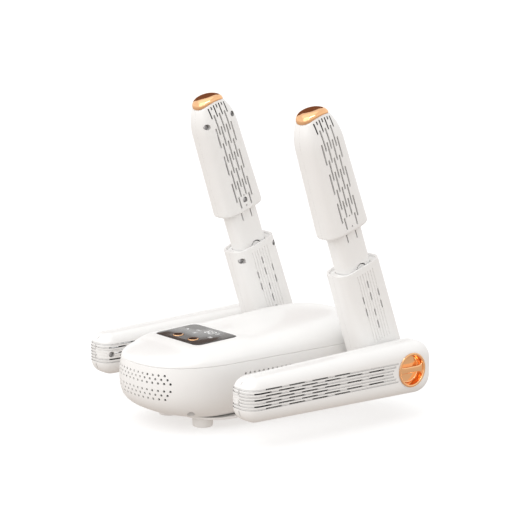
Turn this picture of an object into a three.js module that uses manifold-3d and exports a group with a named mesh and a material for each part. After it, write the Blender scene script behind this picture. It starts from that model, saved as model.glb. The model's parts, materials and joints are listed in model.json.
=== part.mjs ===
// Folding boot and shoe dryer: a flat pod with a blower, two telescopic boot arms and two shoe arms.
// Millimetres. +Z up, -Y front, +X the dryer's left. The origin is on the floor under the middle.
import * as THREE from 'three';
import { mergeVertices } from 'three/addons/utils/BufferGeometryUtils.js';
import Module from 'manifold-3d';

// ---- driving dimensions ----
const POD = {
  halfWidth: 51, // plan: straight sides with superellipse ends
  straight: 46.1,
  endDepth: 62,
  power: 2.4,
  floorZ: 9.5,
  bellyZ: 37,
  seamZ: 52.6,
  crown: 16.5, // height of the domed cover over the seam
  slope: 0.07, // the cover climbs towards the rear
  fullness: 3.4,
  noseTuck: 1.6, // the front draws in this much more than the flanks below the belly
  noseCurl: 0.6, // and this much more again at the floor
  wall: 2.2,
  sides: 26,
};
const PIVOT = { y: 80.5, z: 39.6 }; // one hinge line for all four arms
const ARM = { thickness: 27, wall: 2, round: 10, bootX: 66.2, shoeX: 95, hubRadius: 22.2, bootShift: 1.7 };
const LEAN = THREE.MathUtils.degToRad(19.1); // boot arms at rest, forward of upright
const SLEEVE = { mouth: 84, endRadius: 20.9, endAt: 104, plate: 2, recess: 1.6 };
const TUBE = { width: 28, depth: 19, round: 7, wall: 1.5, bottom: 60, top: 150 };
const TONGUE = { y: 2.5, z: 80.6, radius: 5.6 }; // the snap that holds the tube, cut out of its outer face
const HEAD = { bottom: 114.5, rim: 207.4, halfWidth: 21, taper: 0.03, shoulder: 186, arch: 3.2, floor: 2 };
const CAP = { halfWidth: 13.05, halfDepth: 10.6, dome: 7.8 };
const SHOE = { // two corner circles at each end, at height z and apart by twice the spread
  rear: { y: 9.2, z: -0.06, spread: 6.42, radius: 14.45 },
  tip: { y: -147.8, z: -1.9, spread: 5.4, radius: 11.7 },
};
const CUP = { radius: 13.6, body: 12.6, floor: 5.2, ribHalf: 2.7 };
const AXLE = { outer: 9, inner: 7, running: 0.35, inside: 30, outside: 98.5, collar: 11.4 };
const FOOT = { radius: 8, height: 9.2 };
const FEET = [[22.6, -58.5], [-22.6, -58.5], [22.6, 66], [-22.6, 66]];
const BASE = { width: 84, length: 138, round: 26, underside: 7 };
const PANEL = { x: 28.4, y: 20, round: 5.5, centreY: -47.7, centreZ: 65, tilt: 2.6, thick: 1.6 };
const KEY = { radius: 4.3, x: 9.9, y: -10.1, travel: 0.8 };
const GAP = 0.3;
const SIDES = { left: 1, right: -1 };

// ---- materials ----
const finish = (color, roughness, metalness) => ({ color, roughness, metalness });
const WHITE = finish(0xf4f2ee, 0.35, 0);
const ROSE_GOLD = finish(0xd98a4a, 0.2, 1);
const DARK_GLASS = finish(0x6f6c6a, 0.15, 0);
const RUBBER = finish(0xd9d5d0, 0.8, 0);
const STEEL = finish(0xb9b9bb, 0.35, 1);
const COPPER = finish(0xb87333, 0.4, 1);
const BOARD = finish(0x2c5a3a, 0.6, 0);
const DARK = finish(0x2b2b2d, 0.6, 0);
const CERAMIC = finish(0xd8d2c4, 0.7, 0);

// ---- joining and cutting closed solids ----
const wasm = await Module();
wasm.setup();

function solid(geometry) {
  const bare = geometry.index ? geometry.toNonIndexed() : geometry.clone();
  bare.deleteAttribute('normal');
  bare.deleteAttribute('uv');
  const welded = mergeVertices(bare, 1e-4);
  const corners = welded.index.array;
  const kept = [];
  for (let i = 0; i < corners.length; i += 3) {
    const [a, b, c] = [corners[i], corners[i + 1], corners[i + 2]];
    if (a !== b && b !== c && c !== a) kept.push(a, b, c);
  }
  const vertProperties = new Float32Array(welded.attributes.position.array);
  return new wasm.Manifold(new wasm.Mesh({ numProp: 3, vertProperties, triVerts: new Uint32Array(kept) }));
}

function geometryOf(body) {
  const { vertProperties, triVerts } = body.getMesh();
  const geometry = new THREE.BufferGeometry();
  geometry.setAttribute('position', new THREE.BufferAttribute(new Float32Array(vertProperties), 3));
  geometry.setIndex(new THREE.BufferAttribute(new Uint32Array(triVerts), 1));
  geometry.computeVertexNormals();
  return geometry;
}

const join = (first, ...others) => others.reduce((sum, other) => sum.add(other), first);
const cut = (first, ...others) => others.reduce((rest, other) => rest.subtract(other), first);

// ---- shapes ----
const HUGE = 400; // well past the whole object

// A box given by its low and high corners.
function block(low, high) {
  const size = high.map((value, i) => value - low[i]);
  const middle = high.map((value, i) => (value + low[i]) / 2);
  return solid(new THREE.BoxGeometry(...size).translate(...middle));
}

const TURN = {
  x: new THREE.Matrix4().makeBasis(
    new THREE.Vector3(0, 1, 0), new THREE.Vector3(1, 0, 0), new THREE.Vector3(0, 0, -1)),
  y: new THREE.Matrix4(),
  z: new THREE.Matrix4().makeBasis(
    new THREE.Vector3(1, 0, 0), new THREE.Vector3(0, 0, 1), new THREE.Vector3(0, -1, 0)),
};

// A cylinder along one axis from one station to another, centred on the other two coordinates.
function rod(axis, radius, from, to, centre = [0, 0], sides = 16) {
  const geometry = new THREE.CylinderGeometry(radius, radius, Math.abs(to - from), sides);
  geometry.applyMatrix4(TURN[axis]);
  const middle = (from + to) / 2;
  const place = { x: [middle, ...centre], y: [centre[0], middle, centre[1]], z: [...centre, middle] };
  return solid(geometry.translate(...place[axis]));
}

// A turned body: points are [radius, station along the axis]. Facing -1 turns it about Z to the other side.
function turned(axis, points, { sides = 24, facing = 1, at = [0, 0, 0] } = {}) {
  const geometry = new THREE.LatheGeometry(points.map(([r, h]) => new THREE.Vector2(r, h)), sides);
  geometry.applyMatrix4(TURN[axis]).rotateZ(facing < 0 ? Math.PI : 0);
  return solid(geometry.translate(...at));
}

// A closed skin through superellipse rings, bottom to top.
// A ring is { a, b, rear, z, power, straight, lift }: half width, end depths, height and a height offset.
function loft(rings, sides) {
  const profile = rings.map((ring, i) => new THREE.Vector2(1, i));
  profile.unshift(new THREE.Vector2(0, 0));
  profile.push(new THREE.Vector2(0, rings.length - 1));
  const geometry = new THREE.LatheGeometry(profile, sides, Math.PI / sides).applyMatrix4(TURN.z);
  const points = geometry.attributes.position;
  for (let i = 0; i < points.count; i += 1) {
    const { a, b, rear = b, z, power = 2, straight = 0, lift = () => 0 } = rings[Math.round(points.getZ(i))];
    const [px, py] = [points.getX(i), points.getY(i)];
    const reach = Math.hypot(px, py);
    const bend = (value) => Math.sign(value) * Math.abs(value) ** (2 / power);
    const onRing = reach > 0.5;
    const x = onRing ? a * bend(px / reach) : 0;
    const y = onRing ? (py < 0 ? b : rear) * bend(py / reach) + Math.sign(py) * straight : 0;
    points.setXYZ(i, x, y, z + lift(x, y));
  }
  return solid(geometry);
}

// The outline round two circles and their shared tangents; the second circle lies at (x, y).
function twoCircles(radius, tipRadius, x, y) {
  const along = Math.atan2(y, x);
  const open = Math.acos((radius - tipRadius) / Math.hypot(x, y));
  const outline = new THREE.Shape();
  outline.absarc(0, 0, radius, along + open, along - open + 2 * Math.PI, false);
  outline.absarc(x, y, tipRadius, along - open, along + open, false);
  return outline;
}

function roundedRectangle(width, height, radius) {
  const [x, y] = [width / 2 - radius, height / 2 - radius];
  const outline = new THREE.Shape();
  outline.absarc(x, y, radius, 0, Math.PI / 2, false);
  outline.absarc(-x, y, radius, Math.PI / 2, Math.PI, false);
  outline.absarc(-x, -y, radius, Math.PI, 1.5 * Math.PI, false);
  outline.absarc(x, -y, radius, 1.5 * Math.PI, 2 * Math.PI, false);
  return outline;
}

// An outline pushed up from one height to another.
function pushed(outline, from, to, curveSegments = 6) {
  const settings = { depth: to - from, bevelEnabled: false, curveSegments };
  return solid(new THREE.ExtrudeGeometry(outline, settings).translate(0, 0, from));
}

// A pad whose outline lies in the YZ plane, with both faces' edges rounded over.
const STANDING = new THREE.Matrix4().makeBasis(
  new THREE.Vector3(0, 1, 0), new THREE.Vector3(0, 0, 1), new THREE.Vector3(1, 0, 0));
function pad(outline, thickness, round, curveSegments, bevelSegments = 3) {
  const geometry = new THREE.ExtrudeGeometry(outline, {
    depth: thickness - 2 * round,
    bevelThickness: round,
    bevelSize: round,
    bevelOffset: -round,
    bevelSegments,
    curveSegments,
  });
  geometry.translate(0, 0, round - thickness / 2);
  return solid(geometry.applyMatrix4(STANDING));
}

const half = (side) => (side > 0 ? block([GAP / 2, -HUGE, -HUGE], [HUGE, HUGE, HUGE])
  : block([-HUGE, -HUGE, -HUGE], [-GAP / 2, HUGE, HUGE]));

// ---- the scene ----
const group = new THREE.Group();

function place(name, body, { color, roughness, metalness }, parent = group) {
  const material = new THREE.MeshStandardMaterial({ color, roughness, metalness });
  const mesh = new THREE.Mesh(geometryOf(body), material);
  mesh.name = name;
  parent.add(mesh);
}

// A pan-head screw with its head's top at a point and its shank towards +axis, or -X if facing is -1.
function screw(axis, at, { head, headHeight, shank, length, facing = 1 }) {
  const profile = [[0, 0], [head, 0], [head, headHeight], [shank, headHeight], [shank, length], [0, length]];
  return turned(axis, profile, { sides: 6, facing, at });
}

// ---- pod casing ----
function podRing(z, thinner = 0) {
  const inset = wallInset(z);
  return {
    a: POD.halfWidth - inset - thinner,
    b: POD.endDepth - inset * noseTuck(z) - thinner,
    rear: POD.endDepth - inset - thinner,
    z,
    power: POD.power,
    straight: POD.straight,
  };
}

function noseTuck(z) {
  const below = Math.min((POD.bellyZ - z) / (POD.bellyZ - POD.floorZ), 1);
  return below > 0 ? POD.noseTuck + POD.noseCurl * below ** 3 : 1;
}

// How far the wall has drawn in at a height: a bellied wall over a rounded bottom edge.
function wallInset(z) {
  const above = (z - POD.bellyZ) / (POD.seamZ - POD.bellyZ);
  const below = (POD.bellyZ - z) / (POD.bellyZ - POD.floorZ);
  return z > POD.bellyZ ? 1.6 * above ** 2 : 18 * (1 - Math.sqrt(1 - Math.min(below, 1) ** 2.4));
}

const SEAM_INSET = wallInset(POD.seamZ);

function podDome(thinner, from) {
  const [a, b] = [POD.halfWidth - SEAM_INSET - thinner, POD.endDepth - SEAM_INSET - thinner];
  const crown = POD.crown - thinner;
  const rings = (thinner ? [1, 0.96, 0.86, 0.6] : [1, 0.985, 0.94, 0.84, 0.66, 0.36]).map((q) => ({
    a: a * q,
    b: b * q,
    z: POD.seamZ + crown * Math.sqrt(1 - q ** POD.fullness),
    power: POD.power,
    straight: POD.straight,
    lift: (x, y) => POD.slope * y * Math.sqrt(1 - q ** POD.fullness),
  }));
  return loft([{ ...rings[0], z: from }, ...rings], POD.sides);
}

const BASE_SCREWS = [[36.3, -79.6], [-36.3, -79.6], [20, 97], [-20, 97]];
const PANEL_TILT = new THREE.Matrix4().makeRotationX(THREE.MathUtils.degToRad(PANEL.tilt))
  .setPosition(0, PANEL.centreY, PANEL.centreZ);
const panelPart = (body) => {
  const geometry = geometryOf(body);
  return solid(geometry.applyMatrix4(PANEL_TILT));
};

function upperHousing() {
  const shell = cut(podDome(0, POD.seamZ + GAP / 2), podDome(POD.wall, POD.seamZ - 1));
  const window = panelPart(pushed(
    roundedRectangle(2 * PANEL.x + 2 * GAP, 2 * PANEL.y + 2 * GAP, PANEL.round + GAP), -6, 9, 4));
  const posts = BASE_SCREWS.map(([x, y]) => cut(
    rod('z', 3.4, 24.4, 66, [x, y], 8).intersect(podDome(POD.wall - 0.8, 20)),
    rod('z', 1.2, 20, 44, [x, y], 6),
  ));
  return join(cut(shell, window), ...posts);
}

const sideVents = () => join(...[30, 42].map((z) => block([-HUGE, -44, z], [HUGE, -8, z + 2])));
const noseVents = () => join(...[30, 44].map((z) => block([-22, -HUGE, z], [22, -98, z + 1.8])));

function lowerHousing() {
  const heights = [POD.floorZ, 10.6, 14, 20, 28, POD.bellyZ, POD.seamZ - GAP / 2];
  const outside = loft(heights.map((z) => podRing(z)), POD.sides);
  const floor = POD.floorZ + POD.wall;
  const inside = loft([
    ...[floor, 18, 27, POD.bellyZ].map((z) => podRing(z, POD.wall)),
    podRing(POD.seamZ + 1, POD.wall),
  ], POD.sides);
  let body = cut(outside, inside);
  for (const [x, y] of BASE_SCREWS) {
    body = join(body, rod('z', 4.8, POD.floorZ + 0.4, 24, [x, y], 8).intersect(outside));
    body = cut(body, rod('z', 3.1, 0, 22.2, [x, y], 12), rod('z', 1.4, 18, 30, [x, y], 6));
  }
  for (const side of Object.values(SIDES)) {
    body = cut(body, rod('x', AXLE.outer + GAP, side * 30, side * 60, [PIVOT.y, PIVOT.z], 16));
  }
  const socket = block([-12.3, 80, 17.7], [12.3, 120, 34.3]);
  return cut(body, sideVents(), noseVents(), socket);
}

function basePlate() {
  const outline = roundedRectangle(BASE.width, BASE.length, BASE.round);
  const plate = pushed(outline, BASE.underside, POD.floorZ - GAP, 4);
  const intake = [-18, 0, 18].map((y) => block([-20, y - 1.2, 0], [20, y + 1.2, 12]));
  const feet = FEET.map(([x, y]) => rod('z', FOOT.radius + GAP, 0, 12, [x, y], 14));
  return cut(plate, ...intake, ...feet);
}

function foot(x, y) {
  const { radius, height } = FOOT;
  const profile = [[0, 0], [radius - 0.8, 0], [radius, 0.9], [radius, height], [0, height]];
  return turned('z', profile, { sides: 14, at: [x, y, 0] });
}

// ---- display, keys and board ----
function displayPanel() {
  const pane = pushed(roundedRectangle(2 * PANEL.x, 2 * PANEL.y, PANEL.round), 0, PANEL.thick, 4);
  const holes = [-1, 1].map((s) => rod('z', KEY.radius + 1.5 * GAP, -2, 4, [s * KEY.x, KEY.y], 14));
  return panelPart(cut(pane, ...holes));
}

function key(side) {
  const profile = [
    [0, -3.4], [KEY.radius + 1, -2.2], [KEY.radius + 1, -1.2], [KEY.radius, -1.2],
    [KEY.radius, 1.7], [KEY.radius - 0.5, 2.1], [0, 1.9],
  ];
  return panelPart(turned('z', profile, { sides: 14, at: [side * KEY.x, KEY.y, 0] }));
}

// The board carries a tactile switch under each key.
function controlBoard() {
  let board = pushed(roundedRectangle(44, 34, 2), -9.6, -8, 1);
  for (const x of [-KEY.x, KEY.x]) {
    board = join(
      board,
      block([x - 3, KEY.y - 3, -8.2], [x + 3, KEY.y + 3, -5.2]),
      rod('z', 1.6, -5.4, -4.5, [x, KEY.y], 6),
    );
  }
  return panelPart(board);
}

const ledDisplay = () => panelPart(block([-18, 0, -7.7], [18, 14, -1]));

// ---- blower, heater and duct ----
const FAN = { y: -18, radius: 33, low: 13, high: 44, wall: 1.8, inlet: 20 };

function fanHousing() {
  const { y, radius, low, high, wall, inlet } = FAN;
  const scroll = join(
    rod('z', radius, low, high, [0, y], 18),
    block([-4, y, low], [radius, y + radius + 10, high]),
  );
  const hollow = join(
    rod('z', radius - wall, low + wall, high - wall, [0, y], 18),
    block([-4 + wall, y + wall, low + wall], [radius - wall, y + radius + 20, high - wall]),
  );
  return cut(scroll, hollow, rod('z', inlet, high - 5, high + 5, [0, y], 14), rod('z', 6, 0, 20, [0, y], 8));
}

function fanMotor() {
  const { y, low, wall } = FAN;
  return join(
    rod('z', 11, low + wall + GAP, 26, [0, y], 14),
    rod('z', 1, 25, 34, [0, y], 6),
  );
}

function fanImpeller() {
  const { y } = FAN;
  const blades = 8;
  let wheel = join(
    rod('z', 25, 28, 29.5, [0, y], 16),
    rod('z', 4, 27.5, 36, [0, y], 8),
  );
  const rim = cut(rod('z', 25, 39, 41, [0, y], 16), rod('z', 18, 38, 42, [0, y], 16));
  wheel = join(wheel, rim);
  for (let i = 0; i < blades; i += 1) {
    const blade = new THREE.BoxGeometry(6, 0.9, 11).translate(21, 0, 34.5);
    blade.rotateZ((i * 2 * Math.PI) / blades).translate(0, y, 0);
    wheel = join(wheel, solid(blade));
  }
  return cut(wheel, rod('z', 1.4, 20, 34.6, [0, y], 6));
}

function ptcHeater() {
  const frame = cut(block([-2, 26, 15.4], [30, 40, 41.6]), block([1, 20, 18.4], [27, 50, 38.6]));
  const fins = [5, 9, 13, 17, 21].map((x) => block([x, 28, 18.3], [x + 1.6, 38, 38.7]));
  return join(frame, ...fins);
}

const thermalCutout = () => join(block([8, 41.2, 45], [20, 48, 49]), rod('z', 3, 48.8, 51, [14, 44.6], 8));

function airDuct() {
  const [end, radius, wall] = [AXLE.inside - GAP, 12, 1.8];
  const outside = join(
    rod('x', radius, -end, end, [PIVOT.y, PIVOT.z - 4], 12),
    block([-5, 42, 15], [end, PIVOT.y, 44]),
  );
  const inside = join(
    rod('x', radius - wall, -end + wall, end - wall, [PIVOT.y, PIVOT.z - 4], 12),
    block([-5 + wall, 41, 15 + wall], [end - wall, PIVOT.y, 44 - wall]),
  );
  const ports = rod('x', AXLE.inner - 0.6, -45, 45, [PIVOT.y, PIVOT.z - 2], 10);
  return cut(outside, inside, ports);
}

function powerInlet() {
  const shell = cut(block([-12, 93.6, 18], [12, 107.2, 34]), block([-9.6, 95.6, 20.4], [9.6, 112, 31.6]));
  const pins = [-4, 4].map((x) => rod('y', 1.2, 95, 103.6, [x, 26], 8));
  return join(shell, ...pins);
}

// ---- hinge axle: a hollow shaft that carries air into both arms of its side ----
function hingeAxle(side) {
  const { inner, outer, inside, outside, collar } = AXLE;
  const profile = [
    [inner, inside], [collar, inside], [collar, inside + 3], [outer, inside + 3], [outer, outside - 3],
    [collar, outside - 3], [collar, outside], [inner, outside], [inner, inside],
  ];
  const shaft = turned('x', profile, { sides: 16, facing: side, at: [0, PIVOT.y, PIVOT.z] });
  const middle = side * ARM.bootX;
  const window = (y, z) => block(
    [middle - 7.5, PIVOT.y - y, PIVOT.z - z], [middle + 7.5, PIVOT.y + y, PIVOT.z + z]);
  return cut(shaft, window(20, 5), window(5, 20));
}

// ---- boot arm: local X across the arm, Y rearward of its middle, Z along it from the hinge line ----
const bore = (y) => rod('x', AXLE.outer + AXLE.running, -20, 20, [y, 0], 16);
const hub = (y, from, to) => rod('x', AXLE.collar + 1, from, to, [y, 0], 12);

function sleeveBlank(inset, ends) {
  const outline = twoCircles(ARM.hubRadius - inset, SLEEVE.endRadius - inset, 0, SLEEVE.endAt);
  const blank = pad(outline, ARM.thickness - 2 * inset, ARM.round - inset, inset ? 6 : 8, inset ? 1 : 3);
  return blank.intersect(block([-HUGE, -HUGE, -HUGE], [HUGE, HUGE, ends]));
}

// Screws of the split casings: how far across and along the arm, and how deep their heads are sunk.
const SLEEVE_SCREWS = [
  { y: -17.9, z: 76, sunk: 4.8 },
  { y: 16.6, z: 77, sunk: 3.6 },
  { y: 0, z: 24.6, sunk: 1 },
];
const HEAD_SCREWS = [
  { y: -14, z: 194.5, sunk: 5 },
  { y: 12.4, z: 195.5, sunk: 4.2 },
  { y: 0, z: 124.5, sunk: 1, intoTube: true },
];
const SCREW = { head: 1.9, headHeight: 0.75, shank: 0.7, grip: 5 };
const BOSS = { radius: 2.2, floor: 1.5, pilot: 1, clearance: 1.2, well: 2.3 };
const face = ARM.thickness / 2;

// Fixings of a split casing: posts on both halves meet at the split, and the inner one has a sunk seat.
function withFixings(shell, skin, side, outer, spots) {
  let body = shell;
  for (const { y, z, sunk, intoTube } of spots) {
    const seat = face - sunk - SCREW.headHeight - 0.05;
    const ledge = seat - BOSS.floor;
    if (!outer) {
      let boss = rod('x', BOSS.well + 0.9, -side * ledge, -side * (face - 0.5), [y, z], 8);
      const spine = rod('x', BOSS.radius, -side * (GAP / 2), -side * (ledge + 0.1), [y, z], 8);
      if (!intoTube) boss = join(boss, spine);
      body = cut(
        join(body, boss.intersect(skin)),
        rod('x', BOSS.well, -side * seat, -side * (face + 8), [y, z], 6),
        rod('x', BOSS.clearance, side, -side * face, [y, z], 6),
      );
    } else if (!intoTube) {
      const post = rod('x', BOSS.radius, side * (GAP / 2), side * (face - 0.5), [y, z], 8);
      body = cut(join(body, post.intersect(skin)), rod('x', BOSS.pilot, -side, side * 7, [y, z], 6));
    }
  }
  return body;
}

function casingScrew(side, { y, z, sunk, intoTube }) {
  const length = intoTube ? SCREW.grip : face - sunk + SCREW.grip;
  return screw('x', [-side * (face - sunk), y, z], { ...SCREW, length, facing: side });
}

// Vent slots through both faces of an arm: [across, from, to] along the arm.
const slot = ([y, from, to]) => block([-HUGE, y - 0.6, from], [HUGE, y + 0.6, to]);
const slots = (list) => join(...list.map(slot));

function sleeveHalf(side, outer) {
  const { mouth, plate, recess } = SLEEVE;
  const hollow = sleeveBlank(ARM.wall, mouth - recess - plate);
  const above = block([-HUGE, -HUGE, mouth - recess], [HUGE, HUGE, HUGE]);
  const dish = sleeveBlank(ARM.wall, mouth + 5).intersect(above);
  const opening = pushed(
    roundedRectangle(TUBE.depth + 2 * GAP, TUBE.width + 2 * GAP, TUBE.round + GAP), 60, 100, 3);
  const skin = sleeveBlank(0, mouth);
  let body = cut(skin, hollow, dish, opening);
  body = join(body, ...[-1, 1].map((s) => hub(-ARM.bootShift, s * 8.5, s * (face - 1))));
  body = cut(body, bore(-ARM.bootShift));
  body = cut(body, slots([[-8, 45, 61], [8, 45, 61]]));
  return withFixings(body.intersect(half(outer ? side : -side)), skin, side, outer, SLEEVE_SCREWS);
}

function bootTube(side) {
  const { width, depth, round, wall, bottom, top } = TUBE;
  const outline = roundedRectangle(depth, width, round);
  outline.holes.push(roundedRectangle(depth - 2 * wall, width - 2 * wall, round - wall));
  const vents = slots([[-4.7, 104, 112], [4.7, 104, 112]]);
  const { y: tongueY, z: tongueZ, radius: tongueRadius } = TONGUE;
  const ring = cut(
    rod('x', tongueRadius, side * 5, side * 12, [tongueY, tongueZ], 10),
    rod('x', tongueRadius - 0.8, side * 4, side * 13, [tongueY, tongueZ], 10),
  );
  const tongue = ring.intersect(block([-HUGE, -HUGE, tongueZ], [HUGE, HUGE, HUGE]));
  const { z } = HEAD_SCREWS[2];
  const screwHole = rod('x', BOSS.pilot, 0, -side * face, [0, z], 6);
  return cut(pushed(outline, bottom, top, 3), vents, tongue, screwHole);
}

function headWidths(z, inset = 0) {
  const shoulder = Math.max(0, (z - HEAD.shoulder) / (HEAD.rim - HEAD.shoulder));
  return {
    a: face - 3.1 * shoulder ** 2 - inset,
    b: HEAD.halfWidth - HEAD.taper * (z - HEAD.bottom) - 5.04 * shoulder ** 2.45 - inset,
  };
}

// The head's top edge rises in an arch on both broad faces.
const archOver = (b, height) => (x, y) => height * (1 - Math.min(1, (y / b) ** 2));

function headSkin(inset, bottom, top, sharp) {
  const steps = sharp ? [0, 0.72, 0.9, 1] : [0, 0.7, 0.82, 0.92, 1];
  const heights = steps.map((t) => bottom + t * (top - bottom));
  const rings = heights.map((z) => ({ ...headWidths(z, inset), z, power: 3.2 }));
  rings.at(-1).lift = archOver(CAP.halfWidth - inset, HEAD.arch);
  if (!sharp) {
    const edge = headWidths(bottom);
    rings[0] = { ...rings[0], z: bottom + 2.5 };
    rings.unshift({ ...rings[0], a: edge.a - 0.7, b: edge.b - 0.7, z: bottom + 0.7 });
    rings.unshift({ ...rings[0], a: edge.a - 2.5, b: edge.b - 2.5, z: bottom });
  }
  return loft(rings, sharp ? 14 : 20);
}

function headHalf(side, outer) {
  const skin = headSkin(0, HEAD.bottom, HEAD.rim, false);
  const hollow = headSkin(ARM.wall, HEAD.bottom + HEAD.floor, HEAD.rim - 2.4, true);
  const opening = pushed(
    roundedRectangle(TUBE.depth + 2 * GAP, TUBE.width + 2 * GAP, TUBE.round + GAP), 100, 130, 3);
  let body = cut(skin, hollow, opening);
  body = cut(body, slots([[-5.4, 132, 180], [5.4, 132, 180]]));
  return withFixings(body.intersect(half(outer ? side : -side)), skin, side, outer, HEAD_SCREWS);
}

function bootCap() {
  const base = HEAD.rim + 0.5;
  const ring = (q, rise) => ({
    a: CAP.halfDepth * q,
    b: CAP.halfWidth * q,
    z: base + rise,
    power: 2.4,
    lift: archOver(CAP.halfWidth, HEAD.arch * q * q),
  });
  const dome = (q) => ring(q, 0.8 + (CAP.dome - 0.8) * Math.sqrt(1 - q * q));
  return loft([ring(0.96, 0), ring(1, 0.25), dome(1), dome(0.93), dome(0.75), dome(0.45)], 20);
}

// ---- shoe arm: local X across, Y rearward from the hinge line, Z up ----
const SHOE_SCREWS = [{ y: -152.5, z: -1, sunk: 2.2 }, { y: -27, z: 0, sunk: 1 }];

// The side outline round the four corner circles: a long taper from the rear end to the tip.
function shoeOutline(inset) {
  const { rear, tip } = SHOE;
  const length = rear.y - tip.y;
  const tangent = (side) => {
    const rise = rear.z - tip.z + side * (rear.spread - tip.spread);
    const open = Math.acos((tip.radius - rear.radius) / Math.hypot(length, rise));
    return Math.atan2(rise, length) + side * open;
  };
  const outline = new THREE.Shape();
  const corner = (end, side, from, to) => {
    outline.absarc(end.y, end.z + side * end.spread, end.radius - inset, from, to, false);
  };
  corner(rear, 1, 0, tangent(1));
  corner(tip, 1, tangent(1), Math.PI);
  corner(tip, -1, Math.PI, tangent(-1) + 2 * Math.PI);
  corner(rear, -1, tangent(-1), 0);
  return outline;
}

function shoeBlank(inset) {
  const outline = shoeOutline(inset);
  return pad(outline, ARM.thickness - 2 * inset, ARM.round - inset, inset ? 6 : 8, inset ? 1 : 3);
}

function shoeHalf(side, outer) {
  const skin = shoeBlank(0);
  let body = cut(skin, shoeBlank(ARM.wall));
  for (const y of [-138, -108, -78, -48]) {
    body = cut(body, block([-HUGE, y, -1.2], [HUGE, y + 22, 0.2]));
  }
  if (outer) {
    body = cut(body, rod('x', CUP.body + GAP, side * 5, side * 20, [0, 0], 20));
  } else {
    body = join(body, hub(0, -side * 8.5, -side * (face - 1)));
    body = cut(body, bore(0));
  }
  return withFixings(body.intersect(half(outer ? side : -side)), skin, side, outer, SHOE_SCREWS);
}

function shoeCup(side) {
  const { radius, body, floor, ribHalf } = CUP;
  const profile = [
    [0, face - floor - 1.3], [body, face - floor - 1.3], [body, face + GAP], [radius, face + GAP],
    [radius, face + 0.6], [radius - 0.8, face + 0.9], [radius - 1.9, face + 0.4],
    [radius - 2.4, face - floor], [0, face - floor],
  ];
  const cup = turned('x', profile, { sides: 20, facing: side });
  const low = side * (face - floor - 0.5);
  const high = side * (face - 0.4);
  const rib = block([Math.min(low, high), -11.8, -ribHalf], [Math.max(low, high), 11.8, ribHalf]);
  return join(cup, rib);
}

// ---- assembly ----
place('upper_housing', upperHousing(), WHITE);
place('lower_housing', lowerHousing(), WHITE);
place('base_plate', basePlate(), WHITE);
FEET.forEach(([x, y]) => {
  place(`${y < 0 ? 'front' : 'rear'}_${x > 0 ? 'left' : 'right'}_foot`, foot(x, y), RUBBER);
});
BASE_SCREWS.forEach(([x, y], i) => {
  const body = screw('z', [x, y, 19.8], { head: 2.6, headHeight: 2, shank: 0.95, length: 16 });
  place(`base_screw_${i + 1}`, body, STEEL);
});
place('display_panel', displayPanel(), DARK_GLASS);
place('led_display', ledDisplay(), DARK);
place('control_board', controlBoard(), BOARD);
place('fan_housing', fanHousing(), WHITE);
place('fan_motor', fanMotor(), STEEL);
place('fan_impeller', fanImpeller(), DARK);
place('ptc_heater', ptcHeater(), CERAMIC);
place('thermal_cutout', thermalCutout(), COPPER);
place('air_duct', airDuct(), WHITE);
place('power_inlet', powerInlet(), DARK);

for (const [name, side] of Object.entries(SIDES)) {
  place(`${name}_key`, key(side), ROSE_GOLD);
  place(`${name}_hinge_axle`, hingeAxle(side), WHITE);

  const bootArm = new THREE.Group();
  bootArm.rotation.x = LEAN;
  bootArm.position.set(0, ARM.bootShift, 0).applyEuler(bootArm.rotation);
  bootArm.position.add(new THREE.Vector3(side * ARM.bootX, PIVOT.y, PIVOT.z));
  group.add(bootArm);
  place(`${name}_boot_sleeve_outer`, sleeveHalf(side, true), WHITE, bootArm);
  place(`${name}_boot_sleeve_inner`, sleeveHalf(side, false), WHITE, bootArm);
  place(`${name}_boot_tube`, bootTube(side), WHITE, bootArm);
  place(`${name}_boot_head_outer`, headHalf(side, true), WHITE, bootArm);
  place(`${name}_boot_head_inner`, headHalf(side, false), WHITE, bootArm);
  place(`${name}_boot_cap`, bootCap(), ROSE_GOLD, bootArm);
  SLEEVE_SCREWS.forEach((spot, i) => {
    place(`${name}_sleeve_screw_${i + 1}`, casingScrew(side, spot), STEEL, bootArm);
  });
  HEAD_SCREWS.forEach((spot, i) => {
    place(`${name}_head_screw_${i + 1}`, casingScrew(side, spot), STEEL, bootArm);
  });

  const shoeArm = new THREE.Group();
  shoeArm.position.set(side * ARM.shoeX, PIVOT.y, PIVOT.z);
  group.add(shoeArm);
  place(`${name}_shoe_arm_outer`, shoeHalf(side, true), WHITE, shoeArm);
  place(`${name}_shoe_arm_inner`, shoeHalf(side, false), WHITE, shoeArm);
  place(`${name}_shoe_cup`, shoeCup(side), ROSE_GOLD, shoeArm);
  SHOE_SCREWS.forEach((spot, i) => {
    place(`${name}_shoe_screw_${i + 1}`, casingScrew(side, spot), STEEL, shoeArm);
  });
}

export default group;
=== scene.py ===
import json
import math

import bpy
import numpy as np
from mathutils import Matrix, Vector
from mathutils.bvhtree import BVHTree


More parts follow.
